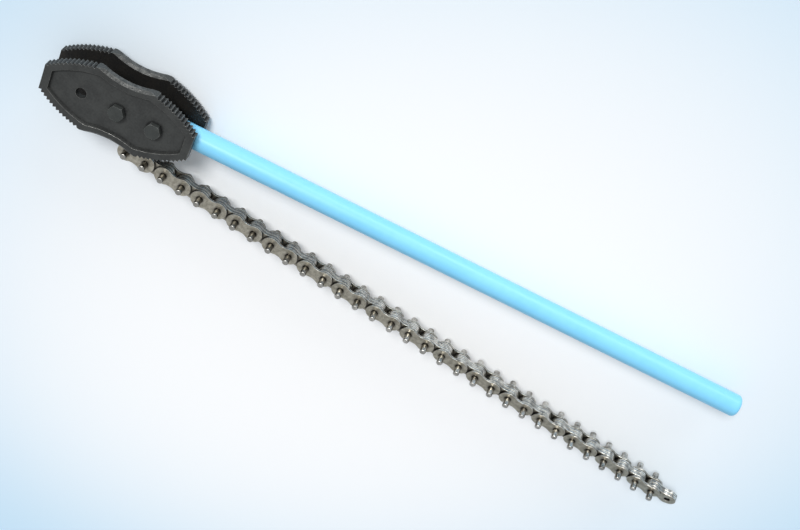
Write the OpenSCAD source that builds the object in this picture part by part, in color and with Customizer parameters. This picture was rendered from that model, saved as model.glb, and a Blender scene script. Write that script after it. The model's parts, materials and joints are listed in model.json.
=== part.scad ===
// Chain pipe wrench with two reversible toothed jaws, lying on its side.
// Millimetres. X runs along the handle, Z up, and the pivot bolt stands on the origin.

/* [Jaws] */
// Length of a jaw plate, end to end
jaw_length = 186; // [150:1:220]
// Width of a jaw plate at its two square ends
jaw_end_w = 33.5; // [24:0.5:44]
// Width of a jaw plate across its lobes
jaw_lobe_w = 90; // [76:1:100]
// Distance between the two lobe corners that bound a waist
lobe_span = 58; // [44:1:70]
// Depth of the hollow waist between two lobes
waist_depth = 5; // [2:0.5:8]
// Radius of the toothed flanks
flank_r = 131; // [100:1:220]
// Thickness of a jaw plate at its rim
jaw_thick = 12.5; // [9:0.5:14]
// Width of the raised rim along the flanks and ends
rim_w = 9.5; // [7:0.5:14]
// Depth of the sunk web inside the rim
web_recess = 4; // [2:0.5:5]
// Run of the sloped wall from the rim down to the web
wall_run = 1; // [0.5:0.1:4]
// Rounding of the lobe corners
lobe_r = 8; // [3:0.5:16]
// Bevel along both edges of a waist
waist_bevel = 3; // [1:0.5:5]
// Spacing of the three bolt holes in a jaw plate
hole_pitch = 46; // [40:1:54]
// Spacing of the teeth along a flank
tooth_pitch = 5.2; // [4:0.1:7]
// Depth of the teeth
tooth_depth = 2.6; // [1.5:0.1:3.5]
// Width of the flat left on the tip of each tooth
tooth_land = 0.6; // [0.2:0.1:1.2]
// Number of notches cut in each flank
tooth_count = 12; // [6:1:12]

/* [Handle] */
// Gap between the jaw plates, which the forged head fills
jaw_gap = 30; // [26:1:36]
// Width of the forged head
head_w = 32; // [29:1:38]
// Diameter of the round bar
handle_d = 28; // [22:1:32]
// Distance from the pivot bolt to the far end of the handle
handle_reach = 818; // [500:1:1000]
// How far the forged head reaches past the clamp bolt
head_past = 9; // [8:1:40]
// Length of the taper from the forged head to the round bar
neck_l = 17; // [12:1:40]
// Rounding at the far end of the handle
handle_end_r = 5; // [1:0.5:9]

/* [Bolts] */
// Diameter of the two jaw bolts
bolt_d = 12; // [10:1:14]
// Width across flats of the bolt heads and nuts
bolt_af = 18; // [16:1:22]
// Height of a bolt head
bolt_head_h = 7.5; // [5:0.5:10]
// Height of a nut
nut_h = 6; // [5:0.5:10]
// Height of a lock washer
washer_h = 2.5; // [1.5:0.25:4]
// Outside diameter of a lock washer
washer_d = 20; // [17:0.5:24]
// Width of the split in a lock washer
washer_split = 1.6; // [0.5:0.1:3]
// Outside diameter of the bush that the anchor link turns on
bush_d = 18; // [16:0.5:20]

/* [Chain] */
// Distance between neighbouring pins
pitch = 25.4; // [19:0.1:30]
// Number of outer links, two pins each
outer_links = 16; // [4:1:17]
// Height of an outer plate
outer_h = 23.4; // [18:0.1:24.4]
// Height of an inner plate
inner_h = 22.6; // [18:0.1:24.4]
// Height of a chain plate at its waist
neck_h = 17; // [13:0.5:17.5]
// Thickness of one outer plate
outer_t = 3; // [2:0.1:4]
// Thickness of the two inner plates together
inner_t = 9.4; // [5:0.1:11]
// Diameter of the pins
pin_d = 8; // [6:0.1:9]
// Length of the pins, which reach past both jaw plates' inner faces
pin_l = 40; // [36:0.5:44]
// Bevel at the ends of the pins
pin_bevel = 0.8; // [0.2:0.1:1.5]

/* [Chain lay] */
// Distance from the pivot bolt to the first pin
anchor_l = 61.2; // [58:0.1:80]
// Diameter of the anchor link's eye
anchor_eye_d = 27; // [24:0.5:30]
// Width of the anchor link's bar
anchor_w = 18; // [14:0.5:20]
// Direction of the anchor link, from the handle's direction
anchor_angle = -69.1; // [-110:0.1:-65]
// Direction of the laid-out chain, from the handle's direction
chain_heading = -8.2; // [-40:0.1:-6]
// Roll of the laid-out chain from its first link to its last
chain_roll = 24; // [0:0.5:28]

/* [Fits] */
// Radial clearance of a pin in an inner plate, and of the bush in the anchor link
turn_clear = 0.1; // [0.05:0.01:0.1]
// Radial clearance of a pin in an outer plate, of a bolt in a nut and of the bush in the fork
seat_clear = 0.02; // [0.01:0.01:0.05]
// Clearance on each side of an inner link between its outer plates
side_clear = 0.3; // [0.2:0.05:0.6]
// Clearance on each side of the anchor link in the fork
fork_clear = 0.4; // [0.2:0.05:0.8]
// Radial clearance of the bolts in the jaw plates, the head and the bush
bolt_clear = 0.75; // [0.2:0.05:1]
// Gap between the two plates of an inner link
plate_gap = 0.1; // [0.05:0.01:0.2]

/* [Hidden] */
$fn = 64;
cut = 1;
half_l = jaw_length / 2;
rest_drop = washer_h + nut_h - web_recess;
mid_z = rest_drop + jaw_thick + jaw_gap / 2;
head_top_z = mid_z + jaw_gap / 2 + jaw_thick - web_recess;
washer_turn = 35;
hex_face_over = 0.3;
hole_d = bolt_d + 2 * bolt_clear;
slot_w = inner_t + 2 * fork_clear;
slot_end = anchor_w / 2 + head_w / 2;
neck_start = hole_pitch + head_past;
links = 2 * outer_links;
roll_step = chain_roll / links;
chain_start = [anchor_l * cos(anchor_angle), anchor_l * sin(anchor_angle), mid_z];
outer_gap = inner_t + 2 * side_clear;

// The centre of a flank's arc, from the end corner and the lobe corner that it joins
flank_from = [half_l, jaw_end_w / 2];
flank_to = [lobe_span / 2, jaw_lobe_w / 2];
flank_chord = norm(flank_to - flank_from);
flank_rise = sqrt(pow(flank_r, 2) - pow(flank_chord / 2, 2));
flank_dir = (flank_to - flank_from) / flank_chord;
flank_mid = (flank_from + flank_to) / 2 + flank_rise * [-flank_dir[1], flank_dir[0]];
flank_start = atan2(flank_from[1] - flank_mid[1], flank_from[0] - flank_mid[0]);
tooth_step = tooth_pitch / flank_r * 180 / PI;

// The circle that hollows a waist, through the two lobe corners
waist_r = (pow(lobe_span / 2, 2) + pow(waist_depth, 2)) / (2 * waist_depth);
waist_y = jaw_lobe_w / 2 - waist_depth + waist_r;

// The centre of the arc that rounds a lobe corner, tangent to the flank inside and to the waist outside
lobe_flank = flank_r - lobe_r;
lobe_waist = waist_r + lobe_r;
lobe_base = [0, waist_y] - flank_mid;
lobe_along = (pow(lobe_flank, 2) - pow(lobe_waist, 2) + lobe_base * lobe_base) / (2 * norm(lobe_base));
lobe_across = sqrt(pow(lobe_flank, 2) - pow(lobe_along, 2));
lobe_dir = lobe_base / norm(lobe_base);
lobe_mid = flank_mid + lobe_along * lobe_dir + lobe_across * [lobe_dir[1], -lobe_dir[0]];

handle_blue = "#6fc3ea";
jaw_black = "#3d3f3e";
bolt_black = "#4b4d4d";
chain_grey = "#8b8880";
pin_grey = "#b5b3ac";

function two(i) = i < 10 ? str("0", i) : str(i);
function numbered(name, count) = [for (i = [1 : count]) str(name, "_", two(i))];

// Children, and their mirror images in X, in Y and in both
module four_ways() {
    for (mx = [0, 1], my = [0, 1])
        mirror([mx, 0, 0]) mirror([0, my, 0]) children();
}

// Outline of a jaw plate with sharp lobe corners and no teeth
module jaw_outline() {
    difference() {
        square([jaw_length, jaw_lobe_w], center = true);
        four_ways() difference() {
            square([half_l + cut, jaw_lobe_w / 2 + cut]);
            translate(flank_mid) circle(flank_r, $fn = 180);
        }
        for (side = [-1, 1])
            translate([0, side * waist_y]) circle(waist_r, $fn = 180);
    }
}

// What the rounding of one lobe corner takes off, between the two points where its arc ends
module lobe_offcut() {
    reach = 2 * (flank_to - lobe_mid);
    to_flank = (lobe_mid - flank_mid) / lobe_flank * lobe_r;
    to_waist = ([0, waist_y] - lobe_mid) / lobe_waist * lobe_r;
    difference() {
        translate(lobe_mid) polygon([[0, 0], 2 * to_flank, reach, 2 * to_waist]);
        translate(lobe_mid) circle(lobe_r, $fn = 90);
    }
}

// The sunk space inside the rim, its web on Z = 0 and its walls sloped all round
module web_pocket() {
    height = web_recess + cut;
    flare = wall_run / web_recess * height;
    inset = rim_w + wall_run;
    low = half_l - inset;
    high = low + flare;
    difference() {
        rotate([90, 0, 0]) linear_extrude(jaw_lobe_w, center = true)
            polygon([[-low, 0], [low, 0], [high, height], [-high, height]]);
        four_ways() difference() {
            cube([half_l + cut, jaw_lobe_w / 2 + cut, height]);
            translate(flank_mid)
                cylinder(h = height, r1 = flank_r - inset, r2 = flank_r - inset + flare);
        }
        for (side = [-1, 1])
            translate([0, side * waist_y, 0])
                cylinder(h = height, r1 = waist_r + inset, r2 = waist_r + inset - flare);
    }
}

// V notches along one flank, which leave a narrow land on each tooth
module flank_notches() {
    half_w = (tooth_pitch - tooth_land) / 2;
    spread = half_w * (tooth_depth + cut) / tooth_depth;
    for (i = [0 : tooth_count - 1])
        translate(flank_mid) rotate(flank_start + (i + 0.5) * tooth_step)
            polygon([[flank_r - tooth_depth, 0], [flank_r + cut, -spread], [flank_r + cut, spread]]);
}

// The two bevels of one waist, which run out on the lobes beside it
module waist_bevels() {
    height = waist_bevel + 2 * cut;
    narrow = waist_r - cut;
    wide = waist_r + waist_bevel + cut;
    translate([0, 0, jaw_thick - waist_bevel - cut]) cylinder(h = height, r1 = narrow, r2 = wide, $fn = 180);
    translate([0, 0, -cut]) cylinder(h = height, r1 = wide, r2 = narrow, $fn = 180);
}

// A jaw plate with its flat inner face on Z = 0 and its sunk web on top
module jaw_plate() {
    difference() {
        linear_extrude(jaw_thick) difference() {
            jaw_outline();
            four_ways() flank_notches();
            four_ways() lobe_offcut();
            for (i = [-1 : 1])
                translate([i * hole_pitch, 0]) circle(d = hole_d);
        }
        translate([0, 0, jaw_thick - web_recess]) web_pocket();
        for (side = [-1, 1]) translate([0, side * waist_y, 0]) waist_bevels();
    }
}

module front_jaw() {
    color(jaw_black) translate([0, 0, mid_z + jaw_gap / 2]) jaw_plate();
}

module rear_jaw() {
    color(jaw_black) translate([0, 0, mid_z - jaw_gap / 2]) mirror([0, 0, 1]) jaw_plate();
}

// Half section of the round bar, from the neck to its rounded far end
module bar_section() {
    length = handle_reach - neck_start;
    r = handle_d / 2;
    square([r, length - handle_end_r]);
    square([r - handle_end_r, length]);
    translate([r - handle_end_r, length - handle_end_r]) circle(handle_end_r);
}

// The forged head: round about the pivot bolt, and turned down to the bar through a cone
module forged_head() {
    head_r = norm([head_w, jaw_gap]) / 2 + cut;
    slope = (head_r - handle_d / 2) / neck_l;
    intersection() {
        translate([0, 0, -jaw_gap / 2]) linear_extrude(jaw_gap) {
            circle(d = head_w);
            translate([0, -head_w / 2]) square([neck_start + neck_l + 2 * cut, head_w]);
        }
        rotate([0, 90, 0]) {
            translate([0, 0, -head_w]) cylinder(h = head_w + neck_start, r = head_r);
            translate([0, 0, neck_start])
                cylinder(h = neck_l + cut, r1 = head_r, r2 = handle_d / 2 - slope * cut);
        }
    }
}

// One bar, forged flat at the head and forked there for the anchor link
module handle() {
    color(handle_blue) translate([0, 0, mid_z]) difference() {
        union() {
            forged_head();
            translate([neck_start, 0, 0]) rotate([0, 90, 0]) rotate_extrude() bar_section();
        }
        translate([-head_w, -head_w, -slot_w / 2]) cube([head_w + slot_end, 2 * head_w, slot_w]);
        cylinder(h = jaw_gap + 2 * cut, d = bush_d + 2 * seat_clear, center = true);
        translate([hole_pitch, 0, 0]) cylinder(h = jaw_gap + 2 * cut, d = hole_d, center = true);
    }
}

module hexagon(across_flats) {
    circle(d = across_flats / cos(30), $fn = 6);
}

// A hexagon-head bolt from the front jaw's web to the lower face of its nut
module jaw_bolt(x) {
    color(bolt_black) translate([x, 0, 0]) {
        cylinder(h = head_top_z, d = bolt_d);
        translate([0, 0, head_top_z]) intersection() {
            linear_extrude(bolt_head_h) hexagon(bolt_af);
            cylinder(h = bolt_head_h, r1 = bolt_af / 2 + bolt_head_h, r2 = bolt_af / 2 + hex_face_over);
        }
    }
}

module pivot_bolt() {
    jaw_bolt(0);
}

module clamp_bolt() {
    jaw_bolt(hole_pitch);
}

// Spacer tube between the jaw plates, which carries the anchor link's eye
module pivot_bush() {
    color(pin_grey) translate([0, 0, mid_z]) difference() {
        cylinder(h = jaw_gap, d = bush_d, center = true);
        cylinder(h = jaw_gap + 2 * cut, d = hole_d, center = true);
    }
}

module jaw_nuts() {
    color(bolt_black) for (x = [0, hole_pitch])
        translate([x, 0, 0]) linear_extrude(nut_h) difference() {
            hexagon(bolt_af);
            circle(d = bolt_d + 2 * seat_clear);
        }
}

// Split spring washers between the nuts and the rear jaw's web
module lock_washers() {
    color(bolt_black) for (x = [0, hole_pitch])
        translate([x, 0, nut_h]) linear_extrude(washer_h) difference() {
            circle(d = washer_d);
            circle(d = hole_d);
            rotate(washer_turn) translate([0, -washer_split / 2]) square([washer_d, washer_split]);
        }
}

// Chain plate outline: two round ends joined by a waist that runs smoothly into both
module link_outline(height) {
    end_r = height / 2;
    neck = neck_h / 2;
    waist = (pow(neck, 2) + pow(pitch / 2, 2) - pow(end_r, 2)) / (2 * (end_r - neck));
    reach = end_r / (end_r + waist);
    meet = [reach * pitch / 2, reach * (neck + waist)];
    for (x = [0, pitch]) translate([x, 0]) circle(end_r);
    difference() {
        translate([meet[0], -meet[1]]) square([pitch - 2 * meet[0], 2 * meet[1]]);
        for (side = [-1, 1]) translate([pitch / 2, side * (neck + waist)]) circle(waist, $fn = 128);
    }
}

// A chain plate of one thickness on Z = 0, with a hole for each pin
module chain_plate(height, thick, hole) {
    linear_extrude(thick) difference() {
        link_outline(height);
        for (x = [0, pitch]) translate([x, 0]) circle(d = hole);
    }
}

// Places children on a link of the laid-out chain: its first pin on the origin, its second on X
module on_link(index) {
    translate(chain_start) rotate([0, 0, chain_heading]) translate([(index - 1) * pitch, 0, 0])
        rotate([index * roll_step, 0, 0]) children();
}

// The long link that ties the chain to the pivot bolt
module anchor_link() {
    color(chain_grey) translate([0, 0, mid_z]) rotate([0, 0, anchor_angle])
        translate([0, 0, -inner_t / 2]) linear_extrude(inner_t) difference() {
            union() {
                circle(d = anchor_eye_d);
                translate([anchor_l, 0]) circle(d = inner_h);
                translate([0, -anchor_w / 2]) square([anchor_l, anchor_w]);
            }
            circle(d = bush_d + 2 * turn_clear);
            translate([anchor_l, 0]) circle(d = pin_d + 2 * turn_clear);
        }
}

module outer_plates(i) {
    color(chain_grey) on_link(2 * i - 1) for (side = [0, 1])
        mirror([0, 0, side]) translate([0, 0, outer_gap / 2])
            chain_plate(outer_h, outer_t, pin_d + 2 * seat_clear);
}

// The two pins of an outer link, bevelled at both ends
module long_pins(i) {
    r = pin_d / 2;
    color(pin_grey) on_link(2 * i - 1) for (x = [0, pitch]) translate([x, 0, -pin_l / 2]) {
        cylinder(h = pin_bevel, r1 = r - pin_bevel, r2 = r);
        translate([0, 0, pin_bevel]) cylinder(h = pin_l - 2 * pin_bevel, r = r);
        translate([0, 0, pin_l - pin_bevel]) cylinder(h = pin_bevel, r1 = r, r2 = r - pin_bevel);
    }
}

// Two plates side by side between the outer links
module inner_plates(index) {
    color(chain_grey) on_link(index) for (side = [0, 1])
        mirror([0, 0, side]) translate([0, 0, plate_gap / 2])
            chain_plate(inner_h, (inner_t - plate_gap) / 2, pin_d + 2 * turn_clear);
}

module inner_link(i) {
    inner_plates(2 * i);
}

// The free end: an inner link whose second hole is an open eye
module end_link() {
    inner_plates(links);
}

handle();
front_jaw();
rear_jaw();
pivot_bolt();
clamp_bolt();
pivot_bush();
jaw_nuts();
lock_washers();
anchor_link();
for (i = [1 : outer_links])
    outer_plates(i);
for (i = [1 : outer_links])
    long_pins(i);
for (i = [1 : outer_links - 1])
    inner_link(i);
end_link();
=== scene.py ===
"""Looks of a chain pipe wrench: softened pieces, finishes, studio light and camera, in metres."""
import json
import logging
import math
from dataclasses import dataclass
from enum import Enum, IntEnum
from typing import Any

import bmesh
import bpy
from mathutils import Matrix, Vector

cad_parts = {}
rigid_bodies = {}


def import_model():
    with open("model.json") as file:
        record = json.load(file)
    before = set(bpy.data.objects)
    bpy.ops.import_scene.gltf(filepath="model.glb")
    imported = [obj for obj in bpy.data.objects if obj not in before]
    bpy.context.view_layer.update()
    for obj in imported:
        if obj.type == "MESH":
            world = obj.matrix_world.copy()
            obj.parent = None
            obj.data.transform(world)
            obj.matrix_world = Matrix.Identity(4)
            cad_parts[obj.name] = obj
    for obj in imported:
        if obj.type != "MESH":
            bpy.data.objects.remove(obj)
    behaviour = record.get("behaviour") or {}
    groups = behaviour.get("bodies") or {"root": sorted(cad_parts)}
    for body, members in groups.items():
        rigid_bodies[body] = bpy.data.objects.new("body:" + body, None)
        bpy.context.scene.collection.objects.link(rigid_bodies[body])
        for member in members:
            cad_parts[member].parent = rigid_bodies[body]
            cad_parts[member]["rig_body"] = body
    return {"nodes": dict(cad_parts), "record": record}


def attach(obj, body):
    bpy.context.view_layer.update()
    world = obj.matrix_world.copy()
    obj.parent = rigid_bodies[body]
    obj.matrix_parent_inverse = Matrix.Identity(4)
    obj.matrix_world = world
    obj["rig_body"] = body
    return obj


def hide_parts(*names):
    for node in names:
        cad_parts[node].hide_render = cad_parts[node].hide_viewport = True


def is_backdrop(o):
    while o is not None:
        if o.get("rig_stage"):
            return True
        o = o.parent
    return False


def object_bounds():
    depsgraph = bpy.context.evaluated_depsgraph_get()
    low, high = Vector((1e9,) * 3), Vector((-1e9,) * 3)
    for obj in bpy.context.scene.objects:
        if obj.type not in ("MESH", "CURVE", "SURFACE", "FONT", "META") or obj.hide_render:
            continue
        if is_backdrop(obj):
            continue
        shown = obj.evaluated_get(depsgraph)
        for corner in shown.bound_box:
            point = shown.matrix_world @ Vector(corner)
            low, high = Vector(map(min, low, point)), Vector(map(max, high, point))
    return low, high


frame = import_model()

LOG = logging.getLogger("chain_wrench")
MM = 0.001
SMOOTH_BELOW = math.radians(38.0)
SECOND_FINISH = 1
Colour = tuple[float, float, float]


def rgba(colour: Colour) -> tuple[float, float, float, float]:
    """Adds full opacity to a colour."""
    return (*colour, 1.0)


class Graph:
    """A node tree with short calls to add and join nodes."""

    def __init__(self, tree: bpy.types.NodeTree) -> None:
        """Keeps the tree.

        Args:
            tree: the material's, world's or group's node tree.
        """
        self.tree = tree

    def add(self, kind: str, inputs: dict[Any, Any] | None = None, **settings: Any) -> bpy.types.Node:
        """Adds a node.

        Args:
            kind: the node's type name.
            inputs: values or sockets for its inputs, by name or number.
            settings: properties of the node itself.

        Returns:
            The new node.
        """
        node = self.tree.nodes.new(kind)
        for name, value in settings.items():
            setattr(node, name, value)
        for name, value in (inputs or {}).items():
            if isinstance(value, bpy.types.NodeSocket):
                self.tree.links.new(value, node.inputs[name])
            else:
                node.inputs[name].default_value = value
        return node

    def noise(self, vector: bpy.types.NodeSocket, scale: float, detail: float = 4.0,
              roughness: float = 0.55) -> bpy.types.NodeSocket:
        """Adds a noise texture.

        Args:
            vector: the coordinates that it reads.
            scale: cells per metre.
            detail: octaves of finer noise.
            roughness: weight of each finer octave.

        Returns:
            Its value output.
        """
        values = {"Vector": vector, "Scale": scale, "Detail": detail, "Roughness": roughness}
        return self.add("ShaderNodeTexNoise", values).outputs[0]

    def ramp(self, value: bpy.types.NodeSocket, low: float, high: float, to_low: float = 0.0,
             to_high: float = 1.0) -> bpy.types.NodeSocket:
        """Maps a value smoothly from one range to another.

        Args:
            value: the socket to map.
            low: value that gives to_low.
            high: value that gives to_high.
            to_low: lower result.
            to_high: higher result.

        Returns:
            The mapped value.
        """
        values = {"Value": value, 1: low, 2: high, 3: to_low, 4: to_high}
        return self.add("ShaderNodeMapRange", values, interpolation_type="SMOOTHSTEP").outputs[0]

    def math(self, operation: str, first: Any, second: Any = 0.0) -> bpy.types.NodeSocket:
        """Adds a math node and gives its result."""
        return self.add("ShaderNodeMath", {0: first, 1: second}, operation=operation).outputs[0]

    def mix(self, factor: Any, first: Any, second: Any) -> bpy.types.NodeSocket:
        """Mixes two colours.

        Args:
            factor: share of the second colour.
            first: colour or socket.
            second: colour or socket.

        Returns:
            The mixed colour.
        """
        values = {0: factor, 6: first, 7: second}
        return self.add("ShaderNodeMix", values, data_type="RGBA").outputs[2]

    def coordinates(self) -> bpy.types.NodeSocket:
        """Gives the piece's own coordinates, which are the frame's, in metres."""
        return self.add("ShaderNodeTexCoord").outputs["Object"]


class JawFace(IntEnum):
    """Place of each of a jaw plate's finishes in its list of materials."""

    FORGED = 0
    EDGE = 1
    RUBBED = 2
    INNER = 3


class LinkFace(IntEnum):
    """Place of each of a chain plate's finishes in its list of materials."""

    FLAT = 0
    RIM = 1
    RECESS_SHADE = 2


class Effect(Enum):
    """Shader groups that several finishes share."""

    MOTTLE = "mottle"
    WORN_EDGE = "worn_edge"
    GRAIN = "grain"
    OIL_AND_SHADE = "oil_and_shade"


class EffectGroups:
    """Builds each shared shader group once and places it in materials."""

    FINER_PATCHES = 7.0
    PATCH_RANGE = (0.36, 0.64)
    WEAR_SCALE = 240.0
    WEAR_RANGE = (0.35, 0.62)
    LEAST_WEAR = 0.25
    FLAT_TURN = 0.004
    PIT_RANGE = (0.0, 0.35)
    SHUT_RANGE = (0.45, 0.95)

    def __init__(self) -> None:
        """Builds the four groups."""
        self.trees = {
            Effect.MOTTLE: self._mottle(),
            Effect.WORN_EDGE: self._worn_edge(),
            Effect.GRAIN: self._grain(),
            Effect.OIL_AND_SHADE: self._oil_and_shade(),
        }

    @staticmethod
    def _start(effect: Effect, inputs: dict[str, float], output: str) -> tuple[Graph, bpy.types.Node]:
        """Starts a group with float inputs and one float output.

        Args:
            effect: which group.
            inputs: default value of each input.
            output: name of the output.

        Returns:
            The group's graph and its input node.
        """
        tree = bpy.data.node_groups.new(effect.value, "ShaderNodeTree")
        for name, value in inputs.items():
            socket = tree.interface.new_socket(name, in_out="INPUT", socket_type="NodeSocketFloat")
            socket.default_value = value
        tree.interface.new_socket(output, in_out="OUTPUT", socket_type="NodeSocketFloat")
        graph = Graph(tree)
        return graph, graph.add("NodeGroupInput")

    def _mottle(self) -> bpy.types.NodeTree:
        """Builds broad, uneven patches broken up by finer ones.

        Returns:
            The group's tree.
        """
        graph, given = self._start(Effect.MOTTLE, {"Scale": 60.0, "Break Up": 0.4}, "Mask")
        place = graph.coordinates()
        broad = graph.add("ShaderNodeTexNoise", {"Vector": place, "Scale": given.outputs["Scale"],
                                                 "Detail": 3.0}).outputs[0]
        fine_scale = graph.math("MULTIPLY", given.outputs["Scale"], self.FINER_PATCHES)
        fine = graph.add("ShaderNodeTexNoise", {"Vector": place, "Scale": fine_scale,
                                                "Detail": 5.0}).outputs[0]
        both = graph.add("ShaderNodeMix", {0: given.outputs["Break Up"], 2: broad, 3: fine}).outputs[0]
        graph.add("NodeGroupOutput", {"Mask": graph.ramp(both, *self.PATCH_RANGE)})
        return graph.tree

    def _worn_edge(self) -> bpy.types.NodeTree:
        """Builds a mask of the edges where a finish has rubbed thin.

        Returns:
            The group's tree.
        """
        graph, given = self._start(Effect.WORN_EDGE, {"Radius": 0.001, "Spread": 0.12}, "Mask")
        place = graph.coordinates()
        rounded = graph.add("ShaderNodeBevel", {"Radius": given.outputs["Radius"]}, samples=6)
        flat = graph.add("ShaderNodeNewGeometry").outputs["Normal"]
        facing = graph.add("ShaderNodeVectorMath", {0: rounded.outputs[0], 1: flat},
                           operation="DOT_PRODUCT")
        turn = graph.math("SUBTRACT", 1.0, facing.outputs["Value"])
        noise = graph.noise(place, self.WEAR_SCALE, 5.0)
        patches = graph.ramp(noise, *self.WEAR_RANGE, self.LEAST_WEAR, 1.0)
        limits = {"Value": turn, 1: self.FLAT_TURN, 2: given.outputs["Spread"]}
        edge = graph.add("ShaderNodeMapRange", limits, interpolation_type="SMOOTHSTEP").outputs[0]
        graph.add("NodeGroupOutput", {"Mask": graph.math("MULTIPLY", edge, patches)})
        return graph.tree

    def _grain(self) -> bpy.types.NodeTree:
        """Builds a height of small lumps and pits.

        Returns:
            The group's tree.
        """
        graph, given = self._start(Effect.GRAIN, {"Scale": 500.0, "Pits": 0.5}, "Height")
        place = graph.coordinates()
        lumps = graph.add("ShaderNodeTexNoise", {"Vector": place, "Scale": given.outputs["Scale"],
                                                 "Detail": 6.0}).outputs[0]
        cells = graph.add("ShaderNodeTexVoronoi", {"Vector": place, "Scale": given.outputs["Scale"]},
                          feature="SMOOTH_F1").outputs["Distance"]
        pits = graph.math("MULTIPLY", graph.ramp(cells, *self.PIT_RANGE), given.outputs["Pits"])
        graph.add("NodeGroupOutput", {"Height": graph.math("ADD", lumps, pits)})
        return graph.tree

    def _oil_and_shade(self) -> bpy.types.NodeTree:
        """Builds a mask that darkens corners and gaps by their ambient occlusion: painted shade there,
        with the oil and scale that stay.

        Returns:
            The group's tree.
        """
        graph, given = self._start(Effect.OIL_AND_SHADE, {"Reach": 0.003, "Share": 1.0}, "Mask")
        # The mask follows ambient occlusion, so it paints shade into corners and gaps along with the oil
        # and scale there.
        open_to = graph.add("ShaderNodeAmbientOcclusion", {"Distance": given.outputs["Reach"]}, samples=8)
        shut = graph.ramp(open_to.outputs["AO"], *self.SHUT_RANGE, 1.0, 0.0)
        graph.add("NodeGroupOutput", {"Mask": graph.math("MULTIPLY", shut, given.outputs["Share"])})
        return graph.tree

    def place(self, graph: Graph, effect: Effect, **values: float) -> bpy.types.NodeSocket:
        """Places a group in a material.

        Args:
            graph: the material's graph.
            effect: which group.
            values: its inputs, with spaces written as underscores.

        Returns:
            The group's output.
        """
        node = graph.add("ShaderNodeGroup", node_tree=self.trees[effect])
        for name, value in values.items():
            node.inputs[name.replace("_", " ").title()].default_value = value
        return node.outputs[0]


@dataclass(frozen=True)
class Finish:
    """A metal finish: two base tones, worn edges, grain, oil with painted shade in corners and gaps, and
    gloss.

    Where it has a far tone, the metal brightens to that tone along the wrench towards the chain's free
    end: a painted highlight for the brighter reflections that the far links and pins catch.
    """

    name: str
    tone: Colour
    second_tone: Colour
    edge_tone: Colour
    metallic: float
    roughness: tuple[float, float]
    edge_roughness: float
    edge_radius: float
    edge_spread: float
    mottle_scale: float
    grain_scale: float
    grain_pits: float
    grain_depth: float
    # Tone, reach and share of the oil and the painted shade that darken corners and gaps.
    oil_and_shade_tone: Colour
    oil_and_shade_reach: float
    oil_and_shade_share: float
    coat: float = 0.0
    coat_roughness: float = 0.1
    # Tone that the metal brightens to towards the chain's free end: a painted highlight.
    far_highlight_tone: Colour | None = None
    far_from: float = 190.0 * MM
    far_at: float = 420.0 * MM
    mottle_break_up: float = 0.45

    def material(self, groups: EffectGroups) -> bpy.types.Material:
        """Builds the finish.

        Args:
            groups: the shared shader groups.

        Returns:
            The new material.
        """
        material = bpy.data.materials.new(self.name)
        material.use_nodes = True
        material.node_tree.nodes.clear()
        graph = Graph(material.node_tree)
        patches = groups.place(graph, Effect.MOTTLE, scale=self.mottle_scale,
                               break_up=self.mottle_break_up)
        worn = groups.place(graph, Effect.WORN_EDGE, radius=self.edge_radius, spread=self.edge_spread)
        height = groups.place(graph, Effect.GRAIN, scale=self.grain_scale, pits=self.grain_pits)
        base = graph.mix(patches, rgba(self.tone), rgba(self.second_tone))
        # Brightens the metal along the wrench towards the free end: a painted highlight for the
        # reflections that the far links and pins catch.
        if self.far_highlight_tone:
            along = graph.add("ShaderNodeSeparateXYZ", {0: graph.coordinates()}).outputs["X"]
            bare = graph.ramp(along, self.far_from, self.far_at)
            base = graph.mix(bare, base, graph.mix(patches, rgba(self.far_highlight_tone), base))
        # Darkens corners and gaps towards the oil-and-shade tone by ambient occlusion: painted shade, with
        # the oil that sits there.
        oil_and_shade = groups.place(graph, Effect.OIL_AND_SHADE, reach=self.oil_and_shade_reach, share=self.oil_and_shade_share)
        edged = graph.mix(worn, base, rgba(self.edge_tone))
        colour = graph.mix(oil_and_shade, edged, rgba(self.oil_and_shade_tone))
        dull = graph.ramp(patches, 0.0, 1.0, *self.roughness)
        rough = graph.add("ShaderNodeMix", {0: worn, 2: dull, 3: self.edge_roughness}).outputs[0]
        bump = graph.add("ShaderNodeBump", {"Height": height, "Strength": 1.0,
                                            "Distance": self.grain_depth})
        shader = graph.add("ShaderNodeBsdfPrincipled", {
            "Base Color": colour, "Metallic": self.metallic, "Roughness": rough, "Normal": bump.outputs[0],
            "Coat Weight": self.coat, "Coat Roughness": self.coat_roughness})
        graph.add("ShaderNodeOutputMaterial", {"Surface": shader.outputs[0]})
        return material


ENAMEL = Finish(
    name="handle_paint", metallic=0.0,
    tone=(0.220, 0.632, 0.925), second_tone=(0.236, 0.652, 0.935), edge_tone=(0.26, 0.67, 0.94),
    roughness=(0.34, 0.40), edge_roughness=0.36,
    edge_radius=1.2 * MM, edge_spread=0.3, mottle_scale=18.0,
    grain_scale=260.0, grain_pits=0.0, grain_depth=0.03 * MM,
    oil_and_shade_tone=(0.08, 0.30, 0.45), oil_and_shade_reach=4.0 * MM, oil_and_shade_share=0.5,
    coat=0.08, coat_roughness=0.16)
FORGED = Finish(
    name="jaw_steel", metallic=0.30,
    tone=(0.038, 0.040, 0.039), second_tone=(0.055, 0.058, 0.056), edge_tone=(0.200, 0.200, 0.190),
    roughness=(0.44, 0.56), edge_roughness=0.40,
    edge_radius=0.9 * MM, edge_spread=0.16, mottle_scale=60.0,
    grain_scale=420.0, grain_pits=0.5, grain_depth=0.16 * MM,
    oil_and_shade_tone=(0.004, 0.004, 0.005), oil_and_shade_reach=4.0 * MM, oil_and_shade_share=0.8)
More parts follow.
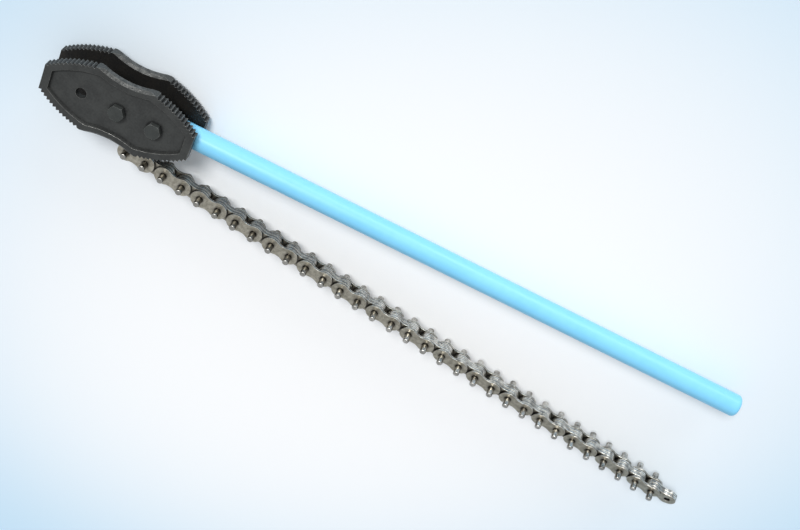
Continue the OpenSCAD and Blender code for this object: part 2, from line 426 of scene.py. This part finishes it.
# Bright finish for the rounded edges of jaws and bolts: worn edges, partly a painted highlight along them.
JAW_EDGE_WEAR_AND_SHEEN = Finish(
    name="jaw_edge_wear_and_sheen", metallic=0.75,
    tone=(0.360, 0.355, 0.335), second_tone=(0.070, 0.070, 0.066), edge_tone=(0.400, 0.395, 0.375),
    roughness=(0.32, 0.46), edge_roughness=0.32,
    edge_radius=0.6 * MM, edge_spread=0.16, mottle_scale=180.0,
    grain_scale=420.0, grain_pits=0.4, grain_depth=0.08 * MM,
    oil_and_shade_tone=(0.010, 0.010, 0.010), oil_and_shade_reach=2.0 * MM, oil_and_shade_share=0.3)
RUBBED = Finish(
    name="jaw_rubbed", metallic=0.45,
    tone=(0.110, 0.111, 0.106), second_tone=(0.038, 0.040, 0.039), edge_tone=(0.200, 0.200, 0.192),
    roughness=(0.38, 0.54), edge_roughness=0.38,
    edge_radius=0.9 * MM, edge_spread=0.16, mottle_scale=170.0,
    grain_scale=300.0, grain_pits=0.8, grain_depth=0.5 * MM,
    oil_and_shade_tone=(0.006, 0.006, 0.007), oil_and_shade_reach=4.0 * MM, oil_and_shade_share=0.8)
# Near-black finish for the jaws' inner faces: painted shade in the gap between the plates.
JAW_INNER_SHADE = Finish(
    name="jaw_inner_shade", metallic=0.50,
    tone=(0.030, 0.028, 0.025), second_tone=(0.013, 0.013, 0.013), edge_tone=(0.080, 0.080, 0.076),
    roughness=(0.40, 0.52), edge_roughness=0.40,
    edge_radius=0.9 * MM, edge_spread=0.16, mottle_scale=70.0,
    grain_scale=420.0, grain_pits=0.5, grain_depth=0.12 * MM,
    oil_and_shade_tone=(0.003, 0.003, 0.003), oil_and_shade_reach=4.0 * MM, oil_and_shade_share=0.8)
BLACK_BOLT = Finish(
    name="bolt_steel", metallic=0.40,
    tone=(0.047, 0.052, 0.050), second_tone=(0.064, 0.070, 0.067), edge_tone=(0.220, 0.222, 0.220),
    roughness=(0.36, 0.46), edge_roughness=0.36,
    edge_radius=0.6 * MM, edge_spread=0.16, mottle_scale=120.0,
    grain_scale=900.0, grain_pits=0.2, grain_depth=0.04 * MM,
    oil_and_shade_tone=(0.006, 0.006, 0.007), oil_and_shade_reach=4.0 * MM, oil_and_shade_share=0.9)
# Chain plate faces; the bright edge tone is worn edges, partly a painted highlight along the plates'
# edges.
CHAIN_STEEL = Finish(
    name="chain_steel", metallic=1.0,
    tone=(0.720, 0.682, 0.575), second_tone=(0.430, 0.402, 0.328), edge_tone=(0.90, 0.89, 0.87),
    roughness=(0.36, 0.52), edge_roughness=0.24,
    edge_radius=0.7 * MM, edge_spread=0.14, mottle_scale=200.0,
    grain_scale=1100.0, grain_pits=0.3, grain_depth=0.04 * MM,
    oil_and_shade_tone=(0.035, 0.030, 0.026), oil_and_shade_reach=4.5 * MM, oil_and_shade_share=0.95)
# Cut rims of the chain plates: darker than the faces near the jaws as painted shade, brightening to a
# painted highlight towards the free end.
PLATE_RIM_SHADE_AND_SHEEN = Finish(
    name="plate_rim_shade_and_sheen", metallic=1.0,
    tone=(0.250, 0.254, 0.252), second_tone=(0.160, 0.162, 0.160), edge_tone=(0.60, 0.60, 0.58),
    roughness=(0.28, 0.38), edge_roughness=0.24,
    edge_radius=0.7 * MM, edge_spread=0.14, mottle_scale=150.0,
    grain_scale=900.0, grain_pits=0.3, grain_depth=0.05 * MM,
    oil_and_shade_tone=(0.026, 0.023, 0.021), oil_and_shade_reach=3.5 * MM, oil_and_shade_share=1.0,
    far_highlight_tone=(0.94, 0.91, 0.85))
# Near-black finish for the chain's seams and the open eye's bore: painted shade in these recesses.
RECESS_SHADE = Finish(
    name="recess_shade", metallic=0.6,
    tone=(0.030, 0.028, 0.026), second_tone=(0.018, 0.017, 0.016), edge_tone=(0.060, 0.056, 0.050),
    roughness=(0.45, 0.55), edge_roughness=0.40,
    edge_radius=0.4 * MM, edge_spread=0.16, mottle_scale=160.0,
    grain_scale=1100.0, grain_pits=0.3, grain_depth=0.04 * MM,
    oil_and_shade_tone=(0.004, 0.004, 0.004), oil_and_shade_reach=4.0 * MM, oil_and_shade_share=1.0)
# Pin bodies: the long occlusion reach paints shade down to their roots, and the far tone is a painted
# highlight towards the free end.
PIN_STEEL = Finish(
    name="pin_steel", metallic=1.0,
    tone=(0.170, 0.162, 0.148), second_tone=(0.120, 0.114, 0.102), edge_tone=(0.40, 0.39, 0.37),
    roughness=(0.20, 0.27), edge_roughness=0.22,
    edge_radius=0.6 * MM, edge_spread=0.16, mottle_scale=120.0,
    grain_scale=1400.0, grain_pits=0.2, grain_depth=0.02 * MM,
    oil_and_shade_tone=(0.022, 0.020, 0.018), oil_and_shade_reach=9.0 * MM, oil_and_shade_share=0.95,
    far_highlight_tone=(0.66, 0.64, 0.60))
# Rubbed pin ends; their far tone is a painted highlight towards the free end.
PIN_TIP = Finish(
    name="pin_tip", metallic=1.0,
    tone=(0.560, 0.550, 0.510), second_tone=(0.430, 0.420, 0.385), edge_tone=(0.80, 0.79, 0.76),
    roughness=(0.34, 0.44), edge_roughness=0.25,
    edge_radius=0.6 * MM, edge_spread=0.16, mottle_scale=160.0,
    grain_scale=1400.0, grain_pits=0.2, grain_depth=0.03 * MM,
    oil_and_shade_tone=(0.10, 0.09, 0.08), oil_and_shade_reach=1.0 * MM, oil_and_shade_share=0.3,
    far_highlight_tone=(0.90, 0.88, 0.83))


def break_shading(solid: bmesh.types.BMesh) -> None:
    """Marks the edges that stay sharp in the shading."""
    for edge in solid.edges:
        edge.smooth = abs(edge.calc_face_angle_signed(0.0)) < SMOOTH_BELOW


@dataclass(frozen=True)
class Softening:
    """How the sharp edges of a stamped, turned or forged piece are rounded."""

    radius: float
    segments: int = 2
    least_angle: float = math.radians(28.0)
    edge_index: int = 0
    rim_radius: float = 0.0
    merge_within: float = 0.002 * MM
    flat_within: float = math.radians(0.4)
    level_within: float = 0.05 * MM

    def _sharp(self, solid: bmesh.types.BMesh) -> list[bmesh.types.BMEdge]:
        """Lists the outward edges that are sharp enough to round."""
        return [e for e in solid.edges if e.calc_face_angle_signed(0.0) > self.least_angle]

    def _round(self, solid: bmesh.types.BMesh, edges: list[bmesh.types.BMEdge], radius: float) -> None:
        """Rounds some edges and marks the faces that this makes.

        Args:
            solid: the piece.
            edges: which edges.
            radius: how far the rounding reaches.
        """
        made = bmesh.ops.bevel(solid, geom=edges, offset=radius, offset_type="OFFSET",
                               segments=self.segments, profile=0.5, affect="EDGES", clamp_overlap=True,
                               loop_slide=True, material=-1)
        for face in made["faces"]:
            face.material_index = self.edge_index

    def _inner_rims(self, edges: list[bmesh.types.BMEdge]) -> list[bmesh.types.BMEdge]:
        """Picks the edges between a plate's raised rim and the wall down to its web.

        Args:
            edges: the plate's sharp edges.

        Returns:
            Those at the plate's highest or lowest level, with a wall that faces the plate's middle.
        """
        levels = [v.co.z for e in edges for v in e.verts]
        low, high = min(levels), max(levels)
        rims = []
        for edge in edges:
            middle = (edge.verts[0].co + edge.verts[1].co) / 2
            wall = min(edge.link_faces, key=lambda face: abs(face.normal.z)).normal
            outermost = min(middle.z - low, high - middle.z) < self.level_within
            if outermost and wall.x * middle.x + wall.y * middle.y < 0:
                rims.append(edge)
        return rims

    def piece(self, node: str) -> bpy.types.Object:
        """Makes a rounded copy of a solid.

        Args:
            node: name of the solid.

        Returns:
            The new object, in the solid's place.
        """
        solid = bmesh.new()
        solid.from_mesh(frame["nodes"][node].data)
        bmesh.ops.remove_doubles(solid, verts=solid.verts, dist=self.merge_within)
        bmesh.ops.dissolve_limit(solid, angle_limit=self.flat_within, verts=solid.verts, edges=solid.edges,
                                 use_dissolve_boundaries=False, delimit=set())
        if self.rim_radius:
            self._round(solid, self._inner_rims(self._sharp(solid)), self.rim_radius)
        self._round(solid, self._sharp(solid), self.radius)
        for face in solid.faces:
            face.smooth = True
        break_shading(solid)
        mesh = bpy.data.meshes.new(f"soft_{node}")
        solid.to_mesh(mesh)
        solid.free()
        piece = bpy.data.objects.new(f"soft_{node}", mesh)
        bpy.context.scene.collection.objects.link(piece)
        piece.modifiers.new("even_shading", "WEIGHTED_NORMAL").keep_sharp = True
        return piece


class Wardrobe:
    """Holds the finished materials and dresses pieces with them."""

    FINISHES = (ENAMEL, FORGED, JAW_EDGE_WEAR_AND_SHEEN, RUBBED, JAW_INNER_SHADE, BLACK_BOLT, CHAIN_STEEL, PLATE_RIM_SHADE_AND_SHEEN, RECESS_SHADE,
                PIN_STEEL, PIN_TIP)

    def __init__(self) -> None:
        """Builds every finish once."""
        groups = EffectGroups()
        self.materials = {finish.name: finish.material(groups) for finish in self.FINISHES}

    def dress(self, node: str, softening: Softening, *further: Finish) -> bpy.types.Object:
        """Puts a rounded, finished piece in place of a solid.

        Args:
            node: name of the solid.
            softening: how its edges are rounded.
            further: finishes that some of its faces have, after the one that the record names.

        Returns:
            The new piece.
        """
        rows = {row["node"]: row["material_slot"] for row in frame["record"]["subparts"]}
        bodies = frame["record"]["behaviour"]["bodies"]
        body = next(name for name, nodes in bodies.items() if node in nodes)
        piece = softening.piece(node)
        for name in (rows[node], *(finish.name for finish in further)):
            piece.data.materials.append(self.materials[name])
        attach(piece, body)
        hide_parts(node)
        LOG.info("%s on %s: %d faces", piece.name, body, len(piece.data.polygons))
        return piece


@dataclass
class JawPair:
    """The two forged jaw plates."""

    edge_radius: float = 0.5 * MM
    rim_radius: float = 0.9 * MM
    waist_half: float = 27.0 * MM
    waist_from: float = 36.5 * MM
    flat_from: float = 0.95

    def build(self, wardrobe: Wardrobe) -> None:
        """Dresses both plates, rubs their waists where the chain has passed and paints shade on their
        inner faces, which face each other across the gap.

        Args:
            wardrobe: where the finishes come from.
        """
        softening = Softening(self.edge_radius, edge_index=JawFace.EDGE, rim_radius=self.rim_radius)
        for node, inward in (("front_jaw", -1.0), ("rear_jaw", 1.0)):
            plate = wardrobe.dress(node, softening, JAW_EDGE_WEAR_AND_SHEEN, RUBBED, JAW_INNER_SHADE).data
            for face in plate.polygons:
                near = abs(face.center.x) < self.waist_half and abs(face.center.y) > self.waist_from
                if near and abs(face.normal.z) < self.flat_from:
                    face.material_index = JawFace.RUBBED
                elif face.normal.z * inward > self.flat_from:
                    # Inner faces take the near-black finish: painted shade in the gap between the plates.
                    face.material_index = JawFace.INNER


@dataclass
class HandleBar:
    """The painted bar with its forged head."""

    edge_radius: float = 1.2 * MM
    edge_segments: int = 3
    paint_from: float = 73.0 * MM

    def build(self, wardrobe: Wardrobe) -> None:
        """Dresses the bar, and leaves its head unpainted where the jaws clamp it, in the near-black finish
        that paints shade between the jaws.

        Args:
            wardrobe: where the finishes come from.
        """
        bar = wardrobe.dress("handle", Softening(self.edge_radius, self.edge_segments), JAW_INNER_SHADE).data
        for face in bar.polygons:
            # The head between the jaws takes the inner-face finish: unpainted steel, darkened as painted
            # shade.
            if face.center.x < self.paint_from:
                face.material_index = SECOND_FINISH


@dataclass
class Bolting:
    """Bolts, nuts, lock washers and the pivot bush."""

    edge_radius: float = 0.35 * MM

    def build(self, wardrobe: Wardrobe) -> None:
        """Dresses each of them.

        Args:
            wardrobe: where the finishes come from.
        """
        for node in ("pivot_bolt", "clamp_bolt", "jaw_nuts", "lock_washers"):
            # Rounded edges take the bright edge finish: worn edges, partly a painted highlight.
            wardrobe.dress(node, Softening(self.edge_radius, edge_index=SECOND_FINISH), JAW_EDGE_WEAR_AND_SHEEN)
        wardrobe.dress("pivot_bush", Softening(self.edge_radius))


@dataclass
class Chain:
    """The anchor link, the links and the long pins."""

    plate_radius: float = 0.65 * MM
    pin_radius: float = 0.4 * MM
    tip_length: float = 0.5 * MM
    rim_lean: float = 0.3
    eye_radius: float = 4.4 * MM
    seam_half: float = 0.28 * MM
    seam_depth: float = 0.42 * MM
    cut_within: float = 0.0001 * MM
    level_within: float = 0.001 * MM

    def build(self, wardrobe: Wardrobe) -> None:
        """Dresses every link and pin.

        Args:
            wardrobe: where the finishes come from.
        """
        for node in frame["nodes"]:
            if node.startswith("long_pins"):
                self._bright_tips(wardrobe.dress(node, Softening(self.pin_radius), PIN_TIP))
            elif node.startswith(("outer_plates", "inner_link", "end_link", "anchor_link")):
                plates = wardrobe.dress(node, Softening(self.plate_radius), PLATE_RIM_SHADE_AND_SHEEN, RECESS_SHADE)
                if node != "anchor_link":
                    self._seams(plates)
                self._cut_rims(plates)

    def _seams(self, plates: bpy.types.Object) -> None:
        """Cuts a fine seam round the rim of both plates of a link, where two leaves lie on each other, and
        paints shade on the seam's faces.

        Args:
            plates: the finished plates.
        """
        solid = bmesh.new()
        solid.from_mesh(plates.data)
        across = max(solid.faces, key=lambda face: face.calc_area()).normal.copy()
        heights = [vert.co.dot(across) for vert in solid.verts]
        middle = (min(heights) + max(heights)) / 2
        for sign in (-1.0, 1.0):
            plate = [height for height in heights if (height - middle) * sign > 0]
            level = (min(plate) + max(plate)) / 2
            for step in (-self.seam_half, 0.0, self.seam_half):
                geometry = [*solid.verts, *solid.edges, *solid.faces]
                bmesh.ops.bisect_plane(solid, geom=geometry, dist=self.cut_within,
                                       plane_co=across * (level + step), plane_no=across)
            solid.normal_update()
            floor = [vert for vert in solid.verts if abs(vert.co.dot(across) - level) < self.level_within]
            sunk = [vert.co - self.seam_depth * vert.normal for vert in floor]
            for vert, place in zip(floor, sunk):
                vert.co = place
            # The seam's faces take the near-black recess finish: painted shade in the seam.
            for face in {face for vert in floor for face in vert.link_faces}:
                face.material_index = LinkFace.RECESS_SHADE
        solid.normal_update()
        break_shading(solid)
        solid.to_mesh(plates.data)
        solid.free()

    @staticmethod
    def _joint(piece: bpy.types.Object) -> tuple[Vector, Vector]:
        """Finds the hinge that a piece swings on.

        Args:
            piece: a finished piece.

        Returns:
            A point on the hinge's axis, and the axis.
        """
        joints = frame["record"]["behaviour"]["joints"]
        joint = next(j for j in joints if j["child"] == piece["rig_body"])
        return Vector(joint["pos_m"]), Vector(joint["axis"])

    def _bright_tips(self, pins: bpy.types.Object) -> None:
        """Gives the ends of a pair of pins a bare, rubbed finish.

        Args:
            pins: the finished pins.
        """
        middle, axis = self._joint(pins)
        half = max(abs((v.co - middle).dot(axis)) for v in pins.data.vertices)
        for face in pins.data.polygons:
            if abs((face.center - middle).dot(axis)) > half - self.tip_length:
                face.material_index = SECOND_FINISH

    def _cut_rims(self, plates: bpy.types.Object) -> None:
        """Gives the cut rims of plates a finish of their own, with painted shade and a painted highlight,
        and paints shade inside the open eye.

        Args:
            plates: the finished plates.
        """
        _, axis = self._joint(plates)
        eye = next(m for m in frame["record"]["mounts"] if m["name"] == "chain_end_eye")
        for face in plates.data.polygons:
            if face.material_index == LinkFace.FLAT and abs(face.normal.dot(axis)) < self.rim_lean:
                # Rim faces inside the open eye take the near-black recess finish: painted shade in the
                # bore.
                away = face.center - Vector(eye["pos_m"])
                in_eye = (away - away.dot(axis) * axis).length < self.eye_radius
                face.material_index = LinkFace.RECESS_SHADE if in_eye else LinkFace.RIM


@dataclass
class Studio:
    """Pale floor, soft lights and the camera."""

    floor_side: float = 120.0
    floor_white: Colour = (0.968, 0.975, 0.980)
    floor_blue: Colour = (0.563, 0.752, 0.896)
    fade_centre: Vector = Vector((0.363, -0.138, 0.0))
    fade_reach: Vector = Vector((0.764, 0.562, 1.0))
    fade_turn: float = math.radians(44.4)
    fade_end: float = 1.25
    room_tint: Colour = (0.95, 0.97, 1.0)
    room_strength: float = 0.50
    wall_strength: float = 0.08
    room_top: float = 0.5
    key_strength: float = 2.03
    key_spread: float = math.radians(20.0)
    key_from: Vector = Vector((-0.34, 0.74, 1.0))
    fill_strength: float = 1.0
    fill_spread: float = math.radians(30.0)
    fill_from: Vector = Vector((0.15, 1.0, 0.19))
    sensor: float = 36.0
    lens: float = 53.22
    camera_place: Vector = Vector((0.2608, 0.7702, 1.2034))
    camera_target: Vector = Vector((0.3728, -0.0333, 0.0320))
    camera_roll: float = math.radians(-160.2)

    def build(self) -> None:
        """Sets the stage round the wrench."""
        self._floor()
        self._world()
        self._light("key", self.key_strength, self.key_spread, self.key_from)
        self._light("fill", self.fill_strength, self.fill_spread, self.fill_from)
        self._camera()
        bpy.context.scene.view_settings.view_transform = "Standard"

    def _floor(self) -> None:
        """Lays the floor under the wrench, white in the middle of an oval and pale blue further out."""
        low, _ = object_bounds()
        plane = bmesh.new()
        bmesh.ops.create_grid(plane, x_segments=1, y_segments=1, size=self.floor_side / 2)
        bmesh.ops.translate(plane, verts=plane.verts, vec=(0.0, 0.0, low.z))
        mesh = bpy.data.meshes.new("floor")
        plane.to_mesh(mesh)
        plane.free()
        floor = bpy.data.objects.new("floor", mesh)
        bpy.context.scene.collection.objects.link(floor)
        material = bpy.data.materials.new("floor")
        material.use_nodes = True
        material.node_tree.nodes.clear()
        graph = Graph(material.node_tree)
        place = graph.add("ShaderNodeMapping", {
            "Vector": graph.coordinates(), "Location": self.fade_centre, "Scale": self.fade_reach,
            "Rotation": (0.0, 0.0, self.fade_turn)}, vector_type="TEXTURE").outputs[0]
        away = graph.add("ShaderNodeVectorMath", {0: place, 1: place}, operation="DOT_PRODUCT")
        share = graph.ramp(away.outputs["Value"], 0.0, self.fade_end)
        colour = graph.mix(share, rgba(self.floor_white), rgba(self.floor_blue))
        shader = graph.add("ShaderNodeBsdfDiffuse", {"Color": colour})
        graph.add("ShaderNodeOutputMaterial", {"Surface": shader.outputs[0]})
        mesh.materials.append(material)
        floor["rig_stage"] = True

    def _world(self) -> None:
        """Gives the room a pale light, brighter overhead than at the walls."""
        world = bpy.data.worlds.new("room")
        bpy.context.scene.world = world
        world.use_nodes = True
        world.node_tree.nodes.clear()
        graph = Graph(world.node_tree)
        way = graph.add("ShaderNodeTexCoord").outputs["Generated"]
        height = graph.add("ShaderNodeSeparateXYZ", {0: way}).outputs["Z"]
        strength = graph.ramp(height, 0.0, self.room_top, self.wall_strength, self.room_strength)
        back = graph.add("ShaderNodeBackground", {"Color": rgba(self.room_tint), "Strength": strength})
        graph.add("ShaderNodeOutputWorld", {"Surface": back.outputs[0]})

    @staticmethod
    def _light(name: str, strength: float, spread: float, origin: Vector) -> None:
        """Shines a distant soft light over the wrench.

        Args:
            name: what the light is called.
            strength: power on a surface that faces it, in watts per square metre.
            spread: how wide it looks, as an angle.
            origin: the direction that it comes from.
        """
        lamp = bpy.data.lights.new(name, "SUN")
        lamp.energy = strength
        lamp.angle = spread
        holder = bpy.data.objects.new(name, lamp)
        holder.rotation_euler = (-origin).to_track_quat("-Z", "Y").to_euler()
        bpy.context.scene.collection.objects.link(holder)

    def _camera(self) -> None:
        """Stands the camera at the photograph's viewing angle."""
        camera = bpy.data.cameras.new("camera")
        camera.sensor_width = self.sensor
        camera.lens = self.lens
        holder = bpy.data.objects.new("camera", camera)
        look = (self.camera_target - self.camera_place).to_track_quat("-Z", "Y").to_matrix().to_4x4()
        turn = Matrix.Rotation(self.camera_roll, 4, "Z")
        holder.matrix_world = Matrix.Translation(self.camera_place) @ look @ turn
        bpy.context.scene.collection.objects.link(holder)
        bpy.context.scene.camera = holder


def main() -> None:
    """Builds the pieces in order and sets the stage."""
    logging.basicConfig(level=logging.INFO, format="%(message)s")
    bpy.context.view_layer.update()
    wardrobe = Wardrobe()
    for assembly in (JawPair(), HandleBar(), Bolting(), Chain()):
        assembly.build(wardrobe)
    Studio().build()


if __name__ == "__main__":
    main()
